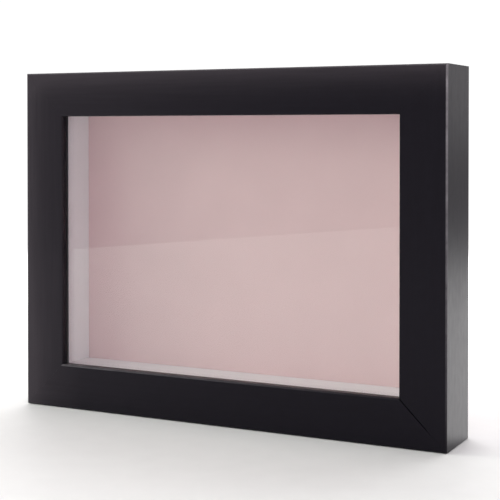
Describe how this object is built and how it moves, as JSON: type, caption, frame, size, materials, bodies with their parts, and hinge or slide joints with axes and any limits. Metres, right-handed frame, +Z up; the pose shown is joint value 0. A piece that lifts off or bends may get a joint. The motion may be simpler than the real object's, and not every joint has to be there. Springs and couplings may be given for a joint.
{
  "type": "shadow box",
  "caption": "Deep black picture-style shadow box with a glazed front, white inner walls, a pink display board and a back held by turn buttons.",
  "frame": {"origin": "centre of the base: the bottom centre of the bounding box, on the surface that the box stands on", "axes": "+Z up; the glazed front faces -Y and the back faces +Y; +X is to the right of someone facing the front"},
  "size_m": [0.209, 0.0344, 0.158],
  "materials": {
    "black_lacquer": "satin black lacquer over wood",
    "clear_glass": "clear polished glass",
    "pink_board": "matte dusty pink board",
    "kraft_board": "brown corrugated board",
    "hardboard": "smooth brown hardboard",
    "white_foam_board": "matte white paper over foam",
    "blued_steel": "dark spring steel",
    "zinc_plated_steel": "bright zinc plate",
    "bumper_rubber": "soft matte rubber"
  },
  "bodies": {
    "case": {"top_rail": "black_lacquer", "bottom_rail": "black_lacquer", "left_rail": "black_lacquer", "right_rail": "black_lacquer", "glazing_pane": "clear_glass", "display_mat": "pink_board", "filler_board": "kraft_board", "backing_board": "hardboard", "spacer_top": "white_foam_board", "spacer_bottom": "white_foam_board", "spacer_left": "white_foam_board", "spacer_right": "white_foam_board", "corner_v_nails": "blued_steel", "turn_button_screws": "zinc_plated_steel", "sawtooth_hanger": "zinc_plated_steel", "hanger_brads": "zinc_plated_steel", "bumper_left": "bumper_rubber", "bumper_right": "bumper_rubber"},
    "turn_button_top_left": {"turn_button_top_left": "zinc_plated_steel"},
    "turn_button_top_right": {"turn_button_top_right": "zinc_plated_steel"},
    "turn_button_bottom_left": {"turn_button_bottom_left": "zinc_plated_steel"},
    "turn_button_bottom_right": {"turn_button_bottom_right": "zinc_plated_steel"},
    "turn_button_left": {"turn_button_left": "zinc_plated_steel"},
    "turn_button_right": {"turn_button_right": "zinc_plated_steel"}
  },
  "joints": [
    {"name": "turn_button_top_left_swing", "type": "hinge", "parent": "case", "child": "turn_button_top_left", "pos_m": [-0.052, 0.01445, 0.1495], "axis": [0, 1, 0], "range_deg": [-90, 90]},
    {"name": "turn_button_top_right_swing", "type": "hinge", "parent": "case", "child": "turn_button_top_right", "pos_m": [0.052, 0.01445, 0.1495], "axis": [0, 1, 0], "range_deg": [-90, 90]},
    {"name": "turn_button_bottom_left_swing", "type": "hinge", "parent": "case", "child": "turn_button_bottom_left", "pos_m": [-0.052, 0.01445, 0.0085], "axis": [0, 1, 0], "range_deg": [-90, 90]},
    {"name": "turn_button_bottom_right_swing", "type": "hinge", "parent": "case", "child": "turn_button_bottom_right", "pos_m": [0.052, 0.01445, 0.0085], "axis": [0, 1, 0], "range_deg": [-90, 90]},
    {"name": "turn_button_left_swing", "type": "hinge", "parent": "case", "child": "turn_button_left", "pos_m": [-0.096, 0.01445, 0.079], "axis": [0, 1, 0], "range_deg": [-90, 90]},
    {"name": "turn_button_right_swing", "type": "hinge", "parent": "case", "child": "turn_button_right", "pos_m": [0.096, 0.01445, 0.079], "axis": [0, 1, 0], "range_deg": [-90, 90]}
  ]
}
